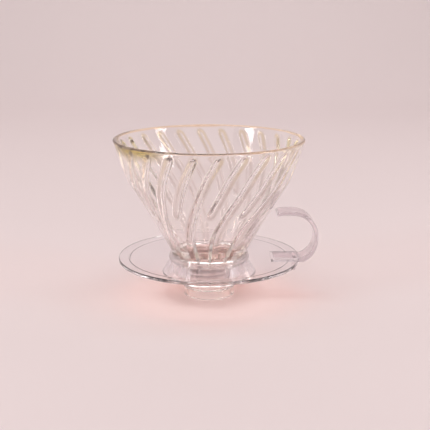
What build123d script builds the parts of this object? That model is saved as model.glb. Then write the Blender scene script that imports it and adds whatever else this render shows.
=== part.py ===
from build123d import *

import os
from math import cos, pi, radians, sin

# Glass pour-over dripper on a clear plastic saucer. Millimetres, +Z up.
# Origin: centre of the outlet spout's bottom face. The handle points along +X.

# Glass cone: outside profile, spout to rim (radius, height)
SPOUT_R = 16.0
SPOUT_EDGE = 0.6
# The spout's straight land ends below the nut; above it the wall is a little slimmer
SPOUT_LAND_TOP = 7.8
SPOUT_RELIEF = 0.5
NECK_CORE_R = 18.9
NECK_BOTTOM = 12.0
SHOULDER_Z = 26.2
CONE_OUTSIDE = [
    (23.1, 26.2),
    (23.6, 28.0),
    (27.7, 36.0),
    (36.0, 50.6),
    (45.5, 66.2),
    (50.6, 75.0),
    (55.9, 90.0),
    (57.9, 96.2),
]
RIM_R = 59.0
RIM_TOP = 99.6

# Glass cone: inside between the ribs (radius, height)
DRAIN_R = 10.5
DRAIN_TOP = 14.0
DRIP_RECESS_R = 13.6
DRIP_RECESS_H = 5.0
WALL_INSIDE = [
    (10.5, 14.0),
    (12.2, 17.0),
    (14.4, 21.0),
    (17.2, 26.0),
    (20.2, 30.5),
    (24.2, 36.0),
    (32.8, 50.3),
    (42.3, 66.2),
    (47.3, 75.0),
    (52.9, 90.0),
    (55.1, 96.6),
    (56.3, 99.7),
]

# Ribs inside the cone: 12 long ones and 12 short ones between them
RIB_PAIRS = 12
RIB_HEIGHT = 2.0
RIB_HALF_WIDTH = 3.2
LONG_RIB_SPAN = (15.0, 20.0, 94.0, 98.0)
SHORT_RIB_SPAN = (56.0, 61.5, 94.0, 98.0)
FIRST_RIB_DEG = -83.5
# Rib heading: angle turned from the top, against height
RIB_TWIST = [
    (14.0, -31.5),
    (33.0, -30.5),
    (43.0, -28.8),
    (50.0, -25.6),
    (58.0, -20.8),
    (66.0, -16.2),
    (74.0, -12.0),
    (84.0, -6.8),
    (92.0, -2.2),
    (96.5, 0.0),
    (100.0, 1.8),
]
SECTIONS = [14.0, 17.0, 20.0, 23.0, 26.5, 31.0, 37.0, 44.0, 51.0, 56.0, 58.7, 61.5, 68.0, 75.0]
SECTIONS += [82.0, 88.0, 94.0, 95.4, 96.7, 98.0, 99.0, 99.8]

# Two-start thread on the neck
STARTS = 2
LEAD = 5.4
THREAD_BASE_W = 1.1
THREAD_TIP_W = 0.4
THREAD_ROOT = 0.5
NECK_THREAD_R = 19.7
NECK_THREAD_Z = (13.4, 24.9)
NUT_BORE_R = 20.6
NUT_THREAD_R = 19.2
NUT_THREAD_Z = (17.8, 19.2)
# Half a ridge spacing between the nut's ridges and the neck's
NUT_THREAD_DEG = (NUT_THREAD_Z[0] - NECK_THREAD_Z[0] - LEAD / STARTS / 2) * 360 / LEAD

# Saucer
SAUCER_R = 56.7
PLATE_BOTTOM = 22.9
PLATE_TOP = 24.9
EDGE = 0.6
STEP_RING_R = 50.0
# The flat that rests on a vessel starts outside the skirt
SEAT_IN_R = 30.4
SEAT_STEP = 0.15
HUB_HOLE_R = 20.4
HUB_BOTTOM = 21.5
HUB_TOP = 25.0
COLLAR_IN_R = 23.5
COLLAR_OUT_R = 24.8
COLLAR_TOP = 26.9
SKIRT_BOTTOM = 13.0
SKIRT_END_R = 29.7
SKIRT_WALL = 1.4

# Seals
UPPER_SEAL = (20.6, 23.3, 25.0, 26.2)
LOWER_SEAL = (20.6, 22.3, 20.5, 21.3)

# Lock nut
NUT_R = 22.6
NUT_TOP = 20.3
NUT_BOTTOM = 8.4
NUT_END_R = 17.8
NUT_THROAT_R = 16.5

# Handle
STRAP_W = 15.0
STRAP_T = 2.4
STRAP_EDGE = 0.3
ROOT_T = 3.2
TONGUE_W = 14.0
TONGUE_START = 40.5
TONGUE_T = 2.6
TONGUE_TOP = 24.9
BOSS_BOTTOM = 21.2
BOSS_HALF_W = 8.6
BOSS_START = 38.8
PEG_X = 53.6
PEG_R = 0.9
PEG_BULB_R = 1.4
PEG_TIP = 14.8
STRAP_PATH = [
    (56.9, 23.4, ROOT_T),
    (59.5, 24.0, ROOT_T),
    (61.9, 25.6, ROOT_T),
    (64.6, 28.7, 2.8),
    (66.4, 33.0, STRAP_T),
    (66.9, 38.0, STRAP_T),
    (66.0, 43.4, STRAP_T),
    (63.4, 48.0, STRAP_T),
    (59.5, 51.2, STRAP_T),
    (54.8, 52.8, STRAP_T),
    (49.5, 53.1, STRAP_T),
    (45.0, 52.9, STRAP_T),
    (42.2, 52.5, STRAP_T),
]


def between(table, z):
    """Smooth value at height z from (height, value) rows."""
    rows = sorted(table)
    if z <= rows[0][0]:
        return rows[0][1]
    for (z0, v0), (z1, v1) in zip(rows, rows[1:]):
        if z <= z1:
            return v0 + (v1 - v0) * (z - z0) / (z1 - z0)
    return rows[-1][1]


def fade(z, span):
    """0 outside the span, 1 in its middle, with smooth ends."""
    z0, z1, z2, z3 = span
    if z <= z0 or z >= z3:
        return 0.0
    t = 1.0
    if z < z1:
        t = (z - z0) / (z1 - z0)
    if z > z2:
        t = (z3 - z) / (z3 - z2)
    return t * t * (3 - 2 * t)


def revolved(points):
    """Solid of revolution about Z from a closed (radius, height) outline."""
    outline = Polyline(*[(r, 0, z) for r, z in points], close=True)
    return revolve(make_face(outline), Axis.Z)


def ring(r_in, r_out, z0, z1):
    return revolved([(r_in, z0), (r_out, z0), (r_out, z1), (r_in, z1)])


def ribbed_section(z):
    """Closed curve of the cone's inside at height z, ribs included."""
    wall = between([(h, r) for r, h in WALL_INSIDE], z)
    turn = radians(FIRST_RIB_DEG + between(RIB_TWIST, z))
    step = pi / RIB_PAIRS
    points = []
    for i in range(2 * RIB_PAIRS):
        span = SHORT_RIB_SPAN if i % 2 else LONG_RIB_SPAN
        widest = radians(5.6 if i % 2 else 8.2)
        half = min(RIB_HALF_WIDTH / wall, widest)
        slim = 0.6 + 0.4 * min(1.0, max(0.0, (z - 24.0) / 20.0))
        height = RIB_HEIGHT * slim * fade(z, span)
        for place in (-1.0, -0.66, -0.33, 0.0, 0.33, 0.66, 1.0):
            r = wall - height * (0.5 + 0.5 * cos(pi * place))
            a = turn + i * step + place * half
            points.append((r * cos(a), r * sin(a), z))
        after = min(RIB_HALF_WIDTH / wall, radians(8.2 if i % 2 else 5.6))
        a = turn + i * step + (half + step - after) / 2
        points.append((wall * cos(a), wall * sin(a), z))
    return Wire([Spline(*points, periodic=True)])


def helical_ridges(r_base, r_tip, z_range, start_deg):
    """The thread's ridges, one per start, on a right-hand helix."""
    z0, z1 = z_range
    out = 1 if r_tip > r_base else -1
    root = r_base - THREAD_ROOT * out
    flank = (THREAD_BASE_W - THREAD_TIP_W) / 2 / abs(r_tip - r_base)
    root_half = THREAD_BASE_W / 2 + flank * THREAD_ROOT
    ridges = []
    for k in range(STARTS):
        path = Helix(LEAD, z1 - z0, r_base, center=(0, 0, z0))
        profile = Polyline(
            (root, 0, z0 - root_half),
            (r_tip, 0, z0 - THREAD_TIP_W / 2),
            (r_tip, 0, z0 + THREAD_TIP_W / 2),
            (root, 0, z0 + root_half),
            close=True,
        )
        ridge = sweep(make_face(profile), path=path, is_frenet=True)
        ridges.append(ridge.rotate(Axis.Z, start_deg + 360 / STARTS * k))
    return ridges


def glass_cone():
    outside = Spline(*[(r, 0, z) for r, z in CONE_OUTSIDE])
    foot = Polyline(
        (0, 0, 0),
        (SPOUT_R - SPOUT_EDGE, 0, 0),
        (SPOUT_R, 0, SPOUT_EDGE),
        (SPOUT_R, 0, SPOUT_LAND_TOP),
        (SPOUT_R - SPOUT_RELIEF, 0, SPOUT_LAND_TOP + SPOUT_RELIEF),
        (SPOUT_R - SPOUT_RELIEF, 0, NECK_BOTTOM - 0.2),
        (NECK_CORE_R - 0.6, 0, NECK_BOTTOM),
        (NECK_CORE_R, 0, NECK_BOTTOM + 0.6),
        (NECK_CORE_R, 0, SHOULDER_Z),
        (CONE_OUTSIDE[0][0], 0, SHOULDER_Z),
    )
    top_r, top_z = CONE_OUTSIDE[-1]
    bead = Spline(
        (top_r, 0, top_z),
        (RIM_R - 0.12, 0, RIM_TOP - 1.4),
        (RIM_R - 0.35, 0, RIM_TOP - 0.45),
        (RIM_R - 1.4, 0, RIM_TOP),
        tangents=[outside % 1, (-1, 0, 0)],
    )
    close = Polyline((RIM_R - 1.4, 0, RIM_TOP), (0, 0, RIM_TOP), (0, 0, 0))
    body = revolve(make_face([foot, outside, bead, close]), Axis.Z)
    cavity = Solid.make_loft([ribbed_section(z) for z in SECTIONS])
    drain = Pos(0, 0, 7.5) * Cylinder(DRAIN_R, 15.0)
    recess = revolved(
        [
            (0, -1),
            (DRIP_RECESS_R, -1),
            (DRIP_RECESS_R, DRIP_RECESS_H - 1.0),
            (DRIP_RECESS_R - 1.0, DRIP_RECESS_H),
            (0, DRIP_RECESS_H),
        ]
    )
    body = body - cavity - drain - recess
    for ridge in helical_ridges(NECK_CORE_R, NECK_THREAD_R, NECK_THREAD_Z, 0.0):
        body = body + ridge
    return body


def upper_seal():
    return ring(*UPPER_SEAL)


def lower_seal():
    return ring(*LOWER_SEAL)


def saucer():
    outline = [
        (HUB_HOLE_R, HUB_BOTTOM),
        (COLLAR_OUT_R - SKIRT_WALL, HUB_BOTTOM),
        (COLLAR_OUT_R + 0.3 - SKIRT_WALL, 19.6),
        (SKIRT_END_R - SKIRT_WALL, SKIRT_BOTTOM),
        (SKIRT_END_R, SKIRT_BOTTOM),
        (COLLAR_OUT_R + 0.5, 20.2),
        (COLLAR_OUT_R, PLATE_BOTTOM + SEAT_STEP),
        (SEAT_IN_R - SEAT_STEP, PLATE_BOTTOM + SEAT_STEP),
        (SEAT_IN_R, PLATE_BOTTOM),
        (STEP_RING_R - 0.5, PLATE_BOTTOM),
        (STEP_RING_R - 0.3, PLATE_BOTTOM - 0.3),
        (STEP_RING_R + 0.3, PLATE_BOTTOM - 0.3),
        (STEP_RING_R + 0.5, PLATE_BOTTOM),
        (SAUCER_R - EDGE, PLATE_BOTTOM),
        (SAUCER_R, PLATE_BOTTOM + EDGE),
        (SAUCER_R, PLATE_TOP - EDGE),
        (SAUCER_R - EDGE, PLATE_TOP),
        (COLLAR_OUT_R, PLATE_TOP),
        (COLLAR_OUT_R, COLLAR_TOP),
        (COLLAR_IN_R, COLLAR_TOP),
        (COLLAR_IN_R, HUB_TOP),
        (HUB_HOLE_R, HUB_TOP),
    ]
    disc = revolved(outline)
    length = 54.9 - BOSS_START
    boss = Pos(BOSS_START + length / 2, 0, (BOSS_BOTTOM + PLATE_BOTTOM) / 2 + 0.1) * Box(
        length, 2 * BOSS_HALF_W, PLATE_BOTTOM - BOSS_BOTTOM + 0.2
    )
    pocket_z = TONGUE_TOP - TONGUE_T
    pocket_len = SAUCER_R + 2 - TONGUE_START
    pocket = Pos(TONGUE_START + pocket_len / 2, 0, pocket_z + 2.5) * Box(
        pocket_len, TONGUE_W + 0.1, 5.0
    )
    peg_hole = Pos(PEG_X, 0, BOSS_BOTTOM) * Cylinder(PEG_R + 0.05, 6.0)
    notch = Pos(55.9 + 5.0, 0, 22.0) * Box(10.0, STRAP_W + 0.4, 8.0)
    return disc + boss - pocket - peg_hole - notch


def handle():
    outer, inner = [], []
    for i, (x, z, t) in enumerate(STRAP_PATH):
        x0, z0, _ = STRAP_PATH[max(i - 1, 0)]
        x1, z1, _ = STRAP_PATH[min(i + 1, len(STRAP_PATH) - 1)]
        run = ((x1 - x0) ** 2 + (z1 - z0) ** 2) ** 0.5
        nx, nz = (z1 - z0) / run, -(x1 - x0) / run
        if i == 0:
            nx, nz = 0.0, -1.0
        outer.append((x + nx * t / 2, 0, z + nz * t / 2))
        inner.append((x - nx * t / 2, 0, z - nz * t / 2))
    side_a = Spline(*outer)
    side_b = Spline(*inner)
    end = ThreePointArc(outer[-1], (STRAP_PATH[-1][0] - STRAP_T / 2, 0, 52.3), inner[-1])
    start = Line(outer[0], inner[0])
    outline = make_face([side_a, end, side_b, start])
    strap = extrude(outline, STRAP_W / 2, dir=(0, 1, 0), both=True)
    sides = strap.faces().filter_by(Axis.Y).edges()
    strap = fillet(sides.filter_by(GeomType.BSPLINE) + sides.filter_by(GeomType.CIRCLE), STRAP_EDGE)
    tongue_z = TONGUE_TOP - TONGUE_T / 2
    length = STRAP_PATH[0][0] + 0.4 - TONGUE_START
    tongue = Pos(TONGUE_START + length / 2, 0, tongue_z) * Box(length, TONGUE_W, TONGUE_T)
    tip = PEG_TIP
    peg = revolved(
        [
            (0, tip),
            (0.8, tip + 0.25),
            (PEG_BULB_R, tip + 1.3),
            (PEG_BULB_R - 0.1, tip + 2.0),
            (PEG_R, tip + 3.6),
            (PEG_R, tongue_z),
            (0, tongue_z),
        ]
    )
    return strap + tongue + Pos(PEG_X, 0, 0) * peg


def lock_nut():
    outline = [
        (NUT_BORE_R, NUT_TOP),
        (NUT_R - 0.4, NUT_TOP),
        (NUT_R, NUT_TOP - 0.4),
        (NUT_R, 13.2),
        (NUT_END_R, NUT_BOTTOM + 0.5),
        (NUT_END_R - 0.4, NUT_BOTTOM),
        (NUT_THROAT_R, NUT_BOTTOM),
        (NUT_THROAT_R, 10.4),
        (NUT_BORE_R, 11.7),
    ]
    nut = revolved(outline)
    for ridge in helical_ridges(NUT_BORE_R, NUT_THREAD_R, NUT_THREAD_Z, NUT_THREAD_DEG):
        nut = nut + ridge
    return nut


NODES = {
    "glass_cone": glass_cone,
    "upper_seal": upper_seal,
    "saucer": saucer,
    "handle": handle,
    "lower_seal": lower_seal,
    "lock_nut": lock_nut,
}

os.makedirs("parts", exist_ok=True)
for node, build in NODES.items():
    shape = build()
    shape.label = node
    export_step(shape, f"parts/{node}.step")
    print(node, len(shape.solids()), round(shape.volume), shape.is_valid)
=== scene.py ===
from math import cos, pi, radians, sin, sqrt

import bpy
from mathutils import Euler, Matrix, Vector


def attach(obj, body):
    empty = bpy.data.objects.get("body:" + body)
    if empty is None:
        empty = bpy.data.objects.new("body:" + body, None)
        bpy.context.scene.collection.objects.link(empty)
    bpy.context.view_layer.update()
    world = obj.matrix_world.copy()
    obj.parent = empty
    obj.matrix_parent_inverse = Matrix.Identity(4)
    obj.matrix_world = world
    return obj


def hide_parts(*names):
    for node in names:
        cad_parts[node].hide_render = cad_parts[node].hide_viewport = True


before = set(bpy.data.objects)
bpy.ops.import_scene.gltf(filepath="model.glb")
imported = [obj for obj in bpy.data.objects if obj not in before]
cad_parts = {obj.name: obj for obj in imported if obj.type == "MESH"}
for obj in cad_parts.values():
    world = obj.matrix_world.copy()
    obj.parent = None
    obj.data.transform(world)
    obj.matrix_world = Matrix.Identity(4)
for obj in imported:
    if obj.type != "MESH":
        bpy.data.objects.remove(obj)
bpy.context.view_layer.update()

# Sizes in millimetres; the meshes are scaled to metres when they are made.
MM = 0.001
ANGLES = 1200
SAUCER_ANGLES = 720
SMALL_ANGLES = 360

# Glass cone, outside (radius, height)
SPOUT_R = 16.0
SPOUT_LAND_TOP = 7.8
SPOUT_RELIEF = 0.5
NECK_R = 18.9
NECK_BOTTOM = 12.0
NECK_TOP = 25.9
SHOULDER_R = 23.1
SHOULDER_Z = 26.2
CONE_OUTSIDE = [
    (SHOULDER_R, 26.5),
    (23.6, 28.0),
    (27.7, 36.0),
    (36.0, 50.6),
    (45.5, 66.2),
    (50.6, 75.0),
    (55.9, 90.0),
    (57.9, 96.2),
]
RIM_R = 59.0
RIM_TOP = 99.6
# Rounded rim, measured from (RIM_R, RIM_TOP)
RIM_BEAD = [
    (-0.3, -1.4),
    (-0.18, -0.8),
    (-0.4, -0.25),
    (-1.4, -0.02),
    (-2.4, -0.25),
    (-2.9, -0.7),
    (-3.1, -1.0),
]
# Glass cone, inside between the ribs (height, radius)
DRAIN_R = 10.5
DRAIN_TOP = 14.0
WALL_TOP = 98.6
WALL_STEP = 0.6
WALL_ROWS = 142
WALL_INSIDE = [
    (DRAIN_TOP, DRAIN_R),
    (17.0, 12.2),
    (21.0, 14.4),
    (26.0, 17.2),
    (30.5, 20.2),
    (36.0, 24.2),
    (50.3, 32.8),
    (66.2, 42.3),
    (75.0, 47.3),
    (90.0, 52.9),
    (96.6, 55.1),
    (WALL_TOP, 55.9),
]
RECESS_R = 13.6
RECESS_H = 5.0

# Ribs
RIB_PAIRS = 12
RIB_HEIGHT = 1.8
RIB_HALF_WIDTH = 3.5
RIB_FLANK = 1.0
LONG_RIB_DEG = 8.2
SHORT_RIB_DEG = 5.6
# Share of the ribs' height left at the bottom, and where they reach the whole of it
LOW_RIB_SHARE = 0.65
LOW_RIB_SPAN = (24.0, 44.0)
LONG_RIB_SPAN = (15.0, 20.0, 94.0, 98.0)
SHORT_RIB_SPAN = (56.0, 61.5, 94.0, 98.0)
FIRST_RIB_DEG = -83.5
RIB_TWIST = [
    (14.0, -31.5),
    (33.0, -30.5),
    (43.0, -28.8),
    (50.0, -25.6),
    (58.0, -20.8),
    (66.0, -16.2),
    (74.0, -12.0),
    (84.0, -6.8),
    (92.0, -2.2),
    (96.5, 0.0),
    (100.0, 1.8),
]

# Thread
STARTS = 2
LEAD = 5.4
THREAD_H = 0.8
NECK_THREAD = (13.4, 24.9)
NUT_THREAD = (17.8, 19.2)
NUT_LUG_H = 1.4
NUT_GROOVES = (12.6, 19.6)
NUT_GROOVE_H = 0.3
THREAD_TIP_W = 0.4
THREAD_BASE_W = 1.1
THREAD_RUN_OUT = 0.7
THREAD_ROW = 0.15

# Saucer, with its hub, collar, skirt and handle socket
PLATE_R = 56.7
PLATE_BOTTOM = 22.9
PLATE_TOP = 24.9
HUB_IN_R = 20.4
HUB_R = 24.8
HUB_BOTTOM = 21.5
COLLAR_TOP = 26.9
SKIRT_BOTTOM = 13.0
STEP_Z = 22.78
SOCKET_BOSS = ((38.8, -8.6, 21.2), (54.9, 8.6, 23.2))
SOCKET_POCKET = ((40.45, -7.05, 22.3), (60.0, 7.05, 30.0))
RIM_NOTCH = ((55.9, -7.7, 18.0), (65.0, 7.7, 30.0))

# Handle: middle line as (x, height, thickness), from the tongue to the free tip
HANDLE_PATH = [
    (40.6, 23.6, 2.5),
    (48.0, 23.6, 2.5),
    (55.0, 23.6, 2.6),
    (57.4, 23.5, 3.0),
    (59.5, 24.0, 3.2),
    (61.9, 25.6, 3.2),
    (64.6, 28.7, 2.8),
    (66.4, 33.0, 2.4),
    (66.88, 38.0, 2.36),
    (66.0, 43.4, 2.4),
    (63.4, 48.0, 2.4),
    (59.5, 51.2, 2.4),
    (54.8, 52.8, 2.4),
    (49.5, 53.1, 2.4),
    (45.0, 52.9, 2.4),
    (42.2, 52.5, 2.4),
]
TONGUE_HALF_WIDTH = 7.0
TONGUE_EDGE = 0.25
STRAP_WIDER = 0.5
STRAP_EDGE = 0.8
STRAP_TIP = 1.2
PEG_X = 53.6
PEG_SIDES = 32
PEG_OUTLINE = [(0.05, 14.8), (0.8, 15.05), (1.4, 16.1), (1.3, 16.8), (0.9, 18.4), (0.9, 23.2)]

# Lock nut, and the seals as (inner radius, outer radius, bottom, top)
NUT_BORE_R = 20.6
NUT_R = 22.6
NUT_TOP = 20.3
NUT_BOTTOM = 8.4
NUT_BORE = (12.1, 19.9)
UPPER_SEAL = (20.65, 23.25, 25.04, 26.16)
LOWER_SEAL = (20.65, 22.25, 20.52, 21.28)

# Colours. A clear material's shade multiplies what is seen through it.
FLOOR_COLOUR = (0.76, 0.672, 0.672)
GLASS_LOW = (0.995, 0.985, 0.975)
# Painted shade along the ribs' flanks, turning golden towards the rim
RIB_PAINTED_SHADE_LOW = (0.80, 0.71, 0.67)
RIB_PAINTED_SHADE_HIGH = (0.88, 0.76, 0.46)
RIM_LINE = (1.0, 0.74, 0.44)
# Painted reflection on one side of the rim
RIM_PAINTED_REFLECTION = (0.62, 0.52, 0.18)
# Painted shade on the threads' flanks: peach on the glass neck, near black in the nut's grooves
NECK_PAINTED_SHADE = (0.66, 0.48, 0.42)
NUT_PAINTED_SHADE = (0.03, 0.01, 0.02)
PLASTIC = (0.975, 0.968, 0.985)
# Painted shade: the handle's clear plastic, the same as the saucer's, made darker so its edges read
# darker
SHADED_HANDLE_PLASTIC = (0.86, 0.80, 0.83)
SILICONE = (0.96, 0.95, 0.94)
# Shade of the shadow that one clear wall casts
WALL_SHADOW = (0.85, 0.745, 0.71)
GLASS_IOR = 1.5
PLASTIC_IOR = 1.49
SILICONE_IOR = 1.41
SILICONE_ROUGHNESS = 0.02
SEAL_SHADOW = (0.97, 0.95, 0.94)
FLOW_SHADE = 0.995

# Where the colours change, in metres
UNEVEN = 0.002
FLOW_RISE = (0.0, 0.06)
# Height over which the ribs' painted shade turns golden
RIB_SHADE_RISE = (0.07, 0.1)
RIM_RISE = (0.0992, 0.1)
# The painted reflection, an olive patch on one side of the rim: which way it lies from the axis,
# how far out, and how high
REFLECTION_WAY = (-0.87, -0.49)
REFLECTION_REACH = (0.044, 0.055)
REFLECTION_RISE = (0.091, 0.099)
# How level a thread's flank is, and how far past its ends the painted shade fades
FLANK_LEVEL = (0.2, 0.5)
FLANK_FADE = 0.6

# Room light by direction, and the lamps
ROOM_DARK = (0.05, 0.04, 0.04)
ROOM_FRONT = (0.30, 0.26, 0.26)
ROOM_BACK = (0.80, 0.72, 0.71)
ROOM_TOP = (0.35, 0.30, 0.30)
WHITE = (1.0, 0.98, 0.97)
MIDDLE = (0, 0, 0.07)
FLOOR_Z = -0.0001

# Camera
CAM_DISTANCE = 545.5
CAM_HEIGHT = 185.4
CAM_PITCH = 13.87
CAM_LENS = 75.15
CAM_SHIFT = 0.014


def smooth_value(table, x):
    """Smooth curve through (x, value) rows, flat beyond the ends."""
    if x <= table[0][0]:
        return table[0][1]
    if x >= table[-1][0]:
        return table[-1][1]
    k = 0
    while table[k + 1][0] < x:
        k += 1
    (x0, y0), (x1, y1) = table[k], table[k + 1]
    before = table[max(k - 1, 0)]
    after = table[min(k + 2, len(table) - 1)]
    slope0 = (y1 - before[1]) / (x1 - before[0])
    slope1 = (after[1] - y0) / (after[0] - x0)
    h = x1 - x0
    t = (x - x0) / h
    a = (1 + 2 * t) * (1 - t) ** 2
    b = t * (1 - t) ** 2
    c = t * t * (3 - 2 * t)
    d = t * t * (t - 1)
    return a * y0 + b * h * slope0 + c * y1 + d * h * slope1


def along(points, step):
    """Evenly spaced points on straight runs between the given ones."""
    out = []
    for (r0, z0), (r1, z1) in zip(points, points[1:]):
        n = max(1, round(sqrt((r1 - r0) ** 2 + (z1 - z0) ** 2) / step))
        out += [(r0 + (r1 - r0) * i / n, z0 + (z1 - z0) * i / n) for i in range(n)]
    return out + [points[-1]]


def curved(points, step):
    """Evenly spaced points on a smooth curve through the given ones."""
    length = [0.0]
    for (r0, z0), (r1, z1) in zip(points, points[1:]):
        length.append(length[-1] + sqrt((r1 - r0) ** 2 + (z1 - z0) ** 2))
    rows_r = [(s, p[0]) for s, p in zip(length, points)]
    rows_z = [(s, p[1]) for s, p in zip(length, points)]
    n = max(2, round(length[-1] / step))
    stops = [length[-1] * i / n for i in range(n + 1)]
    return [(smooth_value(rows_r, s), smooth_value(rows_z, s)) for s in stops]


def eased(points, size, parts=4, closed=True):
    """The outline with each corner rounded off by about size."""
    out = []
    count = len(points)
    for i, p in enumerate(points):
        if not closed and i in (0, count - 1):
            out.append(p)
            continue
        p = Vector(p)
        a = Vector(points[i - 1]) - p
        b = Vector(points[(i + 1) % count]) - p
        cut = min(size, a.length * 0.45, b.length * 0.45)
        start = p + a.normalized() * cut
        end = p + b.normalized() * cut
        out.append(tuple(p + a.normalized() * cut * 1.1))
        for j in range(parts + 1):
            t = j / parts
            q = start * (1 - t) ** 2 + p * 2 * t * (1 - t) + end * t * t
            out.append((q.x, q.y))
        out.append(tuple(p + b.normalized() * cut * 1.1))
    return out


def new_object(name, verts, faces, sharp=35):
    mesh = bpy.data.meshes.new(name)
    mesh.from_pydata(verts, [], faces)
    mesh.validate()
    mesh.shade_smooth()
    mesh.set_sharp_from_angle(angle=radians(sharp))
    obj = bpy.data.objects.new(name, mesh)
    bpy.context.collection.objects.link(obj)
    return obj


def lathe(name, rows, radius=None, angles=ANGLES, sharp=35, turn=None):
    """Closed ring-shaped solid. rows is a closed outline of (radius, height)."""
    verts, faces = [], []
    count = len(rows)
    for i, (r, z) in enumerate(rows):
        start = turn(z) if turn else 0.0
        for j in range(angles):
            a = start + 2 * pi * j / angles
            rr = radius(i, r, z, a) if radius else r
            verts.append((rr * cos(a) * MM, rr * sin(a) * MM, z * MM))
    for i in range(count):
        k = (i + 1) % count
        for j in range(angles):
            m = (j + 1) % angles
            faces.append((i * angles + j, i * angles + m, k * angles + m, k * angles + j))
    return new_object(name, verts, faces, sharp)


def rib_depth(r, z, a):
    """How far a rib stands in from the wall at this height and angle."""
    step = pi / RIB_PAIRS
    turned = (a - rib_turn(z)) % (2 * step)
    bottom, full = LOW_RIB_SPAN
    slim = LOW_RIB_SHARE + (1 - LOW_RIB_SHARE) * min(1.0, max(0.0, (z - bottom) / (full - bottom)))
    depth = 0.0
    for centre, span, widest in (
        (0.0, LONG_RIB_SPAN, LONG_RIB_DEG),
        (2 * step, LONG_RIB_SPAN, LONG_RIB_DEG),
        (step, SHORT_RIB_SPAN, SHORT_RIB_DEG),
    ):
        half = min(RIB_HALF_WIDTH / r, radians(widest))
        off = abs(turned - centre) / half
        low, low_end, high_end, high = span
        end = max(0.0, (z - high_end) / (high - high_end), (low_end - z) / (low_end - low))
        t = min(1.0, max(0.0, (1 - sqrt(off * off + end * end)) / RIB_FLANK))
        depth += RIB_HEIGHT * slim * t * t * (3 - 2 * t)
    return depth


def rib_turn(z):
    """Angle of the first rib at this height."""
    return radians(FIRST_RIB_DEG + smooth_value(RIB_TWIST, z))


def ridge_height(z, a, z_range, start_deg):
    """Height of the thread's ridge at this height and angle, 0 between ridges."""
    height = 0.0
    for k in range(STARTS):
        base = z_range[0] + LEAD * ((a - radians(start_deg) - 2 * pi * k / STARTS) / (2 * pi))
        turn = round((z - base) / LEAD)
        off = abs(z - base - turn * LEAD)
        centre = base + turn * LEAD
        ends = min(1.0, max(0.0, (centre - z_range[0] + THREAD_RUN_OUT) / THREAD_RUN_OUT))
        ends *= min(1.0, max(0.0, (z_range[1] + THREAD_RUN_OUT - centre) / THREAD_RUN_OUT))
        ramp = (THREAD_BASE_W / 2 - off) / ((THREAD_BASE_W - THREAD_TIP_W) / 2)
        height = max(height, ends * min(1.0, max(0.0, ramp)))
    return height


def glass_cone():
    """Spout, threaded neck, shoulder, flared cone, rounded rim and ribbed inside, in one turn."""
    foot = eased(
        [
            (RECESS_R, 2.0),
            (RECESS_R, 0.0),
            (SPOUT_R, 0.0),
            (SPOUT_R, SPOUT_LAND_TOP),
            (SPOUT_R - SPOUT_RELIEF, SPOUT_LAND_TOP + SPOUT_RELIEF),
            (SPOUT_R - SPOUT_RELIEF, NECK_BOTTOM - 0.2),
            (NECK_R, NECK_BOTTOM),
            (NECK_R, NECK_BOTTOM + 1.2),
        ],
        0.6,
        closed=False,
    )
    neck = along([(NECK_R, NECK_BOTTOM + 1.2), (NECK_R, NECK_TOP)], THREAD_ROW)
    shoulder = eased(
        [(NECK_R, NECK_TOP), (NECK_R, SHOULDER_Z), (SHOULDER_R, SHOULDER_Z), (SHOULDER_R, 26.9)],
        0.12,
        closed=False,
    )
    outside = curved(CONE_OUTSIDE, 1.5)
    bead = curved([CONE_OUTSIDE[-1]] + [(RIM_R + r, RIM_TOP + z) for r, z in RIM_BEAD], 0.3)
    heights = [WALL_TOP - WALL_STEP * i for i in range(WALL_ROWS)]
    wall = [(smooth_value(WALL_INSIDE, z), z) for z in heights if z > DRAIN_TOP]
    drain = eased(
        [
            (DRAIN_R, DRAIN_TOP),
            (DRAIN_R, RECESS_H),
            (RECESS_R, RECESS_H),
            (RECESS_R, 2.2),
        ],
        0.7,
        closed=False,
    )
    rows = foot[:-1] + neck[:-1] + shoulder[:-2] + outside[:-1] + bead[:-1]
    first_wall = len(rows)
    rows += wall
    last_wall = len(rows)
    rows += drain
    first_neck, last_neck = len(foot) - 1, len(foot) + len(neck) - 2

    def radius(i, r, z, a):
        if first_wall <= i < last_wall:
            return r - rib_depth(r, z, a)
        if first_neck <= i < last_neck:
            return r + THREAD_H * ridge_height(z, a, NECK_THREAD, 0.0)
        return r

    cone = lathe("glass_cone_clear", rows, radius, turn=rib_turn)
    # Mask for the painted shade along the ribs: highest halfway up each rib's flank
    edge = cone.data.attributes.new("rib_flank_painted_shade", "FLOAT", "POINT")
    for k, v in enumerate(cone.data.vertices):
        if first_wall <= k // ANGLES < last_wall:
            r, z = rows[k // ANGLES]
            part = (r - sqrt(v.co.x ** 2 + v.co.y ** 2) / MM) / RIB_HEIGHT
            edge.data[k].value = 4 * part * (1 - part)
    return cone


def seal(name, r_in, r_out, z0, z1):
    rows = eased([(r_in, z0), (r_out, z0), (r_out, z1), (r_in, z1)], 0.25)
    return lathe(name, rows, angles=SMALL_ANGLES)


def box_object(name, low, high):
    xs, ys, zs = zip(low, high)
    verts = [(x * MM, y * MM, z * MM) for x in xs for y in ys for z in zs]
    faces = [(0, 1, 3, 2), (4, 6, 7, 5), (0, 4, 5, 1), (2, 3, 7, 6), (0, 2, 6, 4), (1, 5, 7, 3)]
    return new_object(name, verts, faces)


def joined(obj, other, operation):
    """Boolean of obj with other, which is used up."""
    cut = obj.modifiers.new("cut", "BOOLEAN")
    cut.operation = operation
    cut.solver = "EXACT"
    cut.object = other
    deps = bpy.context.evaluated_depsgraph_get()
    mesh = bpy.data.meshes.new_from_object(obj.evaluated_get(deps))
    obj.modifiers.clear()
    old = obj.data
    obj.data = mesh
    mesh.name = obj.name
    bpy.data.meshes.remove(old)
    bpy.data.objects.remove(other)
    return obj


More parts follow.
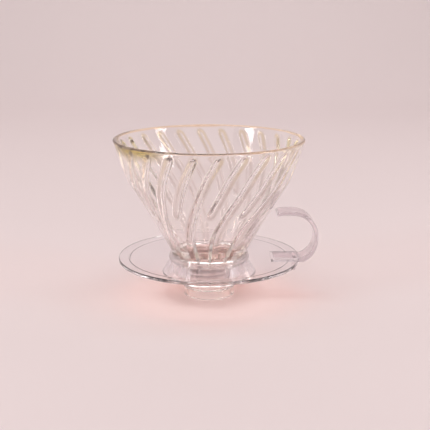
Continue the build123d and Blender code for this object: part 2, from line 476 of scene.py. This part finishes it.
def saucer():
    """Disc with a hub, a flared skirt below, a collar above and the handle's socket."""
    rows = eased(
        [
            (HUB_IN_R, HUB_BOTTOM),
            (23.4, HUB_BOTTOM),
            (23.7, 19.6),
            (28.3, SKIRT_BOTTOM),
            (29.7, SKIRT_BOTTOM),
            (25.3, 20.2),
            (HUB_R, PLATE_BOTTOM),
            (49.4, PLATE_BOTTOM),
            (49.8, STEP_Z),
            (50.2, STEP_Z),
            (50.6, PLATE_BOTTOM),
            (PLATE_R, PLATE_BOTTOM),
            (PLATE_R, PLATE_TOP),
            (HUB_R, PLATE_TOP),
            (HUB_R, COLLAR_TOP),
            (23.5, COLLAR_TOP),
            (23.5, 25.0),
            (HUB_IN_R, 25.0),
        ],
        0.45,
    )
    disc = lathe("saucer_clear", rows, angles=SAUCER_ANGLES)
    disc = joined(disc, box_object("boss", *SOCKET_BOSS), "UNION")
    disc = joined(disc, box_object("pocket", *SOCKET_POCKET), "DIFFERENCE")
    disc = joined(disc, box_object("notch", *RIM_NOTCH), "DIFFERENCE")
    disc.data.shade_smooth()
    disc.data.set_sharp_from_angle(angle=radians(30))
    return disc


def handle():
    """C-shaped strap swept along its middle line, with the peg joined on."""
    route = [(x, z) for x, z, _ in HANDLE_PATH]
    centres = curved(route, 0.5)
    length = [0.0]
    for (x0, z0), (x1, z1) in zip(route, route[1:]):
        length.append(length[-1] + sqrt((x1 - x0) ** 2 + (z1 - z0) ** 2))
    thick = [(s, p[2]) for s, p in zip(length, HANDLE_PATH)]
    total = length[-1]
    verts, faces = [], []
    last = len(centres) - 1
    ring_size = 0
    for i, (x, z) in enumerate(centres):
        x0, z0 = centres[max(i - 1, 0)]
        x1, z1 = centres[min(i + 1, last)]
        run = sqrt((x1 - x0) ** 2 + (z1 - z0) ** 2)
        nx, nz = (z1 - z0) / run, -(x1 - x0) / run
        s = total * i / last
        t = smooth_value(thick, s) / 2
        w = TONGUE_HALF_WIDTH + STRAP_WIDER * min(1.0, max(0.0, (x - 56.5) / 1.5, (z - 24.0) / 2))
        edge = STRAP_EDGE if x > 57 or z > 26 else TONGUE_EDGE
        near_end = min(1.0, (total - s) / STRAP_TIP)
        t *= sqrt(max(0.0, 1 - (1 - near_end) ** 2)) * 0.9 + 0.1
        section = eased([(-t, -w), (t, -w), (t, w), (-t, w)], edge, parts=5)
        ring_size = len(section)
        for n, y in section:
            verts.append(((x + nx * n) * MM, y * MM, (z + nz * n) * MM))
    for i in range(last):
        for j in range(ring_size):
            k = (j + 1) % ring_size
            a, b = i * ring_size, (i + 1) * ring_size
            faces.append((a + j, b + j, b + k, a + k))
    faces.append(tuple(range(ring_size)))
    faces.append(tuple(last * ring_size + j for j in reversed(range(ring_size))))
    strap = new_object("handle_clear", verts, faces)
    return joined(strap, peg(), "UNION")


def peg():
    """Retaining peg with a drop-shaped tip, under the handle's tongue."""
    outline = curved(PEG_OUTLINE, 0.3)
    verts, faces = [], []
    for r, z in outline:
        for j in range(PEG_SIDES):
            a = 2 * pi * j / PEG_SIDES
            verts.append(((PEG_X + r * cos(a)) * MM, r * sin(a) * MM, z * MM))
    top = (len(outline) - 1) * PEG_SIDES
    for low in range(0, top, PEG_SIDES):
        high = low + PEG_SIDES
        for j in range(PEG_SIDES):
            k = (j + 1) % PEG_SIDES
            faces.append((low + j, low + k, high + k, high + j))
    faces.append(tuple(reversed(range(PEG_SIDES))))
    faces.append(tuple(top + j for j in range(PEG_SIDES)))
    return new_object("peg", verts, faces)


def lock_nut():
    """Nut with two short lugs and a shallow groove in its bore."""
    shell = eased(
        [
            (NUT_BORE_R, NUT_BORE[1]),
            (NUT_BORE_R, NUT_TOP),
            (NUT_R, NUT_TOP),
            (NUT_R, 13.2),
            (17.8, 8.9),
            (17.4, NUT_BOTTOM),
            (16.5, NUT_BOTTOM),
            (16.5, 10.4),
            (NUT_BORE_R, 11.7),
            (NUT_BORE_R, NUT_BORE[0]),
        ],
        0.5,
        closed=False,
    )[:-1]
    bore = along([(NUT_BORE_R, NUT_BORE[0]), (NUT_BORE_R, NUT_BORE[1])], THREAD_ROW)
    rows = shell + bore
    first_bore = len(shell)
    start = (NUT_THREAD[0] - NECK_THREAD[0] - LEAD / STARTS / 2) * 360 / LEAD
    groove_start = (NUT_GROOVES[0] - NECK_THREAD[0]) * 360 / LEAD

    def radius(i, r, z, a):
        if i >= first_bore:
            r -= NUT_LUG_H * ridge_height(z, a, NUT_THREAD, start)
            r += NUT_GROOVE_H * ridge_height(z, a, NUT_GROOVES, groove_start)
        return r

    return lathe("lock_nut_clear", rows, radius, angles=ANGLES)


def ramp(nt, value, low, high):
    node = nt.nodes.new("ShaderNodeMapRange")
    node.interpolation_type = "SMOOTHSTEP"
    node.inputs["From Min"].default_value = low
    node.inputs["From Max"].default_value = high
    nt.links.new(value, node.inputs["Value"])
    return node.outputs[0]


def blended(nt, factor, first, second):
    """Colour socket that goes from first to second; each is a colour or a socket."""
    mix = nt.nodes.new("ShaderNodeMix")
    mix.data_type = "RGBA"
    nt.links.new(factor, mix.inputs[0])
    for into, colour in ((mix.inputs[6], first), (mix.inputs[7], second)):
        if isinstance(colour, tuple):
            into.default_value = (*colour, 1)
        else:
            nt.links.new(colour, into)
    return mix.outputs[2]


def math_node(nt, operation, first, second=0.0):
    """Result socket of a sum done on sockets or numbers."""
    node = nt.nodes.new("ShaderNodeMath")
    node.operation = operation
    for into, value in zip(node.inputs, (first, second)):
        if isinstance(value, float):
            into.default_value = value
        else:
            nt.links.new(value, into)
    return node.outputs[0]


def place(nt):
    """The surface point's x, y and z sockets, in metres, with a little unevenness in z."""
    where = nt.nodes.new("ShaderNodeTexCoord")
    split = nt.nodes.new("ShaderNodeSeparateXYZ")
    nt.links.new(where.outputs["Object"], split.inputs[0])
    noise = nt.nodes.new("ShaderNodeTexNoise")
    noise.inputs["Scale"].default_value = 30.0
    noise.inputs["Detail"].default_value = 2.0
    nt.links.new(where.outputs["Object"], noise.inputs["Vector"])
    uneven = math_node(nt, "MULTIPLY", noise.outputs["Fac"], UNEVEN)
    return split.outputs["X"], split.outputs["Y"], math_node(nt, "ADD", split.outputs["Z"], uneven)


def glass_colour(nt):
    """Clear glass with a deeper-coloured rim; painted shade along the ribs' flanks and the thread's
    flanks, and a painted reflection on one side of the rim.
    """
    x, y, z = place(nt)
    edge = nt.nodes.new("ShaderNodeAttribute")
    edge.attribute_name = "rib_flank_painted_shade"
    # Painted shade along the ribs' flanks
    rib_shade_colour = blended(nt, ramp(nt, z, *RIB_SHADE_RISE), RIB_PAINTED_SHADE_LOW, RIB_PAINTED_SHADE_HIGH)
    colour = blended(nt, edge.outputs["Fac"], GLASS_LOW, rib_shade_colour)
    # Painted reflection, an olive patch on one side of the rim
    along_x = math_node(nt, "MULTIPLY", x, REFLECTION_WAY[0])
    along_y = math_node(nt, "MULTIPLY", y, REFLECTION_WAY[1])
    reach = ramp(nt, math_node(nt, "ADD", along_x, along_y), *REFLECTION_REACH)
    side = math_node(nt, "MULTIPLY", reach, ramp(nt, z, *REFLECTION_RISE))
    colour = blended(nt, side, colour, RIM_PAINTED_REFLECTION)
    colour = blended(nt, ramp(nt, z, *RIM_RISE), colour, RIM_LINE)
    # Painted shade on the neck thread's flanks
    return blended(nt, painted_thread_shade(nt, NECK_THREAD), colour, NECK_PAINTED_SHADE)


def clear_colour(nt, colour, thread):
    """A clear plastic or rubber: nearly even, with faint flow marks, and painted shade on a
    thread's flanks when one is given.
    """
    z = place(nt)[2]
    shaded = tuple(FLOW_SHADE * c for c in colour)
    colour = blended(nt, ramp(nt, z, *FLOW_RISE), colour, shaded)
    if thread:
        # Painted shade on the flanks of the nut's bore grooves
        colour = blended(nt, painted_thread_shade(nt, thread), colour, NUT_PAINTED_SHADE)
    return colour


def painted_thread_shade(nt, z_range):
    """Mask for painted shade: 1 on the flanks of a thread between two heights, 0 elsewhere."""
    where = nt.nodes.new("ShaderNodeTexCoord")
    height = nt.nodes.new("ShaderNodeSeparateXYZ")
    nt.links.new(where.outputs["Object"], height.inputs[0])
    facing = nt.nodes.new("ShaderNodeSeparateXYZ")
    nt.links.new(where.outputs["Normal"], facing.inputs[0])
    flank = ramp(nt, math_node(nt, "ABSOLUTE", facing.outputs["Z"]), *FLANK_LEVEL)
    low, high = z_range
    above = ramp(nt, height.outputs["Z"], (low - FLANK_FADE) * MM, low * MM)
    below = ramp(nt, height.outputs["Z"], (high + FLANK_FADE) * MM, high * MM)
    for limit in (above, below):
        flank = math_node(nt, "MULTIPLY", flank, limit)
    return flank


def clear_material(name, colour, ior, roughness=0.0, shadow=WALL_SHADOW, thread=None):
    """Clear material whose shadow is soft and light, as thin clear walls cast."""
    mat = bpy.data.materials.new(name)
    mat.use_nodes = True
    nt = mat.node_tree
    body = nt.nodes["Principled BSDF"]
    out = nt.nodes["Material Output"]
    body.inputs["Transmission Weight"].default_value = 1.0
    body.inputs["IOR"].default_value = ior
    body.inputs["Roughness"].default_value = roughness
    base = clear_colour(nt, colour, thread) if colour else glass_colour(nt)
    nt.links.new(base, body.inputs["Base Color"])
    path = nt.nodes.new("ShaderNodeLightPath")
    clear = nt.nodes.new("ShaderNodeBsdfTransparent")
    clear.inputs["Color"].default_value = (*shadow, 1)
    mix = nt.nodes.new("ShaderNodeMixShader")
    nt.links.new(path.outputs["Is Shadow Ray"], mix.inputs[0])
    nt.links.new(body.outputs[0], mix.inputs[1])
    nt.links.new(clear.outputs[0], mix.inputs[2])
    nt.links.new(mix.outputs[0], out.inputs["Surface"])
    return mat


def floor_material():
    mat = bpy.data.materials.new("pale_paper")
    mat.use_nodes = True
    nt = mat.node_tree
    body = nt.nodes["Principled BSDF"]
    body.inputs["Roughness"].default_value = 0.75
    noise = nt.nodes.new("ShaderNodeTexNoise")
    noise.inputs["Scale"].default_value = 2.0
    mix = nt.nodes.new("ShaderNodeMix")
    mix.data_type = "RGBA"
    mix.inputs[6].default_value = (*FLOOR_COLOUR, 1)
    mix.inputs[7].default_value = (*[c * 1.03 for c in FLOOR_COLOUR], 1)
    nt.links.new(noise.outputs["Fac"], mix.inputs[0])
    nt.links.new(mix.outputs[2], body.inputs["Base Color"])
    return mat


def backdrop():
    """Floor that sweeps up into a backdrop, as paper does in a small studio."""
    half, front, turn, radius, top = 1.6, -1.4, 0.9, 0.6, 2.2
    rows = [(y, FLOOR_Z) for y in (front, -0.3, 0.3, turn)]
    for i in range(1, 25):
        a = pi / 2 * i / 24
        rows.append((turn + radius * sin(a), FLOOR_Z + radius * (1 - cos(a))))
    rows.append((turn + radius, top))
    verts = [(x, y, z) for y, z in rows for x in (-half, half)]
    faces = [(2 * i, 2 * i + 1, 2 * i + 3, 2 * i + 2) for i in range(len(rows) - 1)]
    return new_object("studio_floor", verts, faces, sharp=60)


def area_light(name, spot, target, size, power, colour):
    light = bpy.data.lights.new(name, "AREA")
    light.shape = "RECTANGLE"
    light.size, light.size_y = size
    light.energy = power
    light.color = colour
    obj = bpy.data.objects.new(name, light)
    obj.location = spot
    aim = Vector(target) - Vector(spot)
    obj.rotation_euler = aim.to_track_quat("-Z", "Y").to_euler()
    bpy.context.collection.objects.link(obj)
    return obj


def studio_world():
    """Room light: bright behind, dim overhead, dark low on the camera's side."""
    world = bpy.data.worlds.new("studio")
    bpy.context.scene.world = world
    world.use_nodes = True
    nt = world.node_tree
    sky = nt.nodes["Background"]
    where = nt.nodes.new("ShaderNodeTexCoord")
    split = nt.nodes.new("ShaderNodeSeparateXYZ")
    nt.links.new(where.outputs["Generated"], split.inputs[0])
    across, up = split.outputs["Y"], split.outputs["Z"]
    front = blended(nt, ramp(nt, up, 0.15, 0.35), ROOM_DARK, ROOM_FRONT)
    room = blended(nt, ramp(nt, across, -0.45, 0.35), front, ROOM_BACK)
    room = blended(nt, ramp(nt, up, 0.75, 0.95), room, ROOM_TOP)
    nt.links.new(room, sky.inputs["Color"])


glass = clear_material("pressed_glass", None, GLASS_IOR)
plastic = clear_material("clear_plastic", PLASTIC, PLASTIC_IOR)
# Darker copy of the clear plastic for the handle, painted shade for its edges
shaded_handle_plastic = clear_material("shaded_handle_plastic", SHADED_HANDLE_PLASTIC, PLASTIC_IOR)
# The nut's clear plastic with painted shade on its groove flanks
nut_plastic_painted_shade = clear_material("nut_plastic_painted_shade", PLASTIC, PLASTIC_IOR, thread=NUT_GROOVES)
silicone = clear_material("clear_silicone", SILICONE, SILICONE_IOR, SILICONE_ROUGHNESS, SEAL_SHADOW)

parts = [
    (glass_cone(), "glass_cone", "dripper", "glass", glass),
    (seal("upper_seal_clear", *UPPER_SEAL), "upper_seal", "dripper", "silicone", silicone),
    (saucer(), "saucer", "dripper", "clear_plastic", plastic),
    (handle(), "handle", "dripper", "clear_plastic", shaded_handle_plastic),
    (seal("lower_seal_clear", *LOWER_SEAL), "lower_seal", "washer", "silicone", silicone),
    (lock_nut(), "lock_nut", "nut", "clear_plastic", nut_plastic_painted_shade),
]
for obj, node, body, slot, material in parts:
    obj.data.materials.clear()
    obj.data.materials.append(material)
    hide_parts(node)
    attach(obj, body)

floor = backdrop()
floor.data.materials.append(floor_material())

studio_world()

area_light("softbox_right", (0.885, -0.30, 0.44), MIDDLE, (0.17, 0.6), 3.2, WHITE)
area_light("softbox_left", (-0.805, -0.45, 0.47), MIDDLE, (0.17, 0.6), 3.2, WHITE)
area_light("softbox_front", (0.0, -1.3, 0.85), MIDDLE, (1.8, 0.7), 2.4, WHITE)
area_light("softbox_top", (0.0, 0.3, 1.8), (0, 1.5, 0.6), (1.6, 0.6), 18.0, WHITE)

camera = bpy.data.cameras.new("camera")
camera.lens = CAM_LENS
camera.sensor_width = 36.0
camera.shift_x = CAM_SHIFT
eye = bpy.data.objects.new("camera", camera)
eye.location = (0, -CAM_DISTANCE * MM, CAM_HEIGHT * MM)
eye.rotation_euler = Euler((radians(90 - CAM_PITCH), 0, 0))
bpy.context.collection.objects.link(eye)
bpy.context.scene.camera = eye

scene = bpy.context.scene
scene.cycles.max_bounces = 32
scene.cycles.transmission_bounces = 32
scene.cycles.transparent_max_bounces = 32
scene.cycles.glossy_bounces = 12
scene.cycles.caustics_reflective = False
scene.view_settings.view_transform = "Standard"
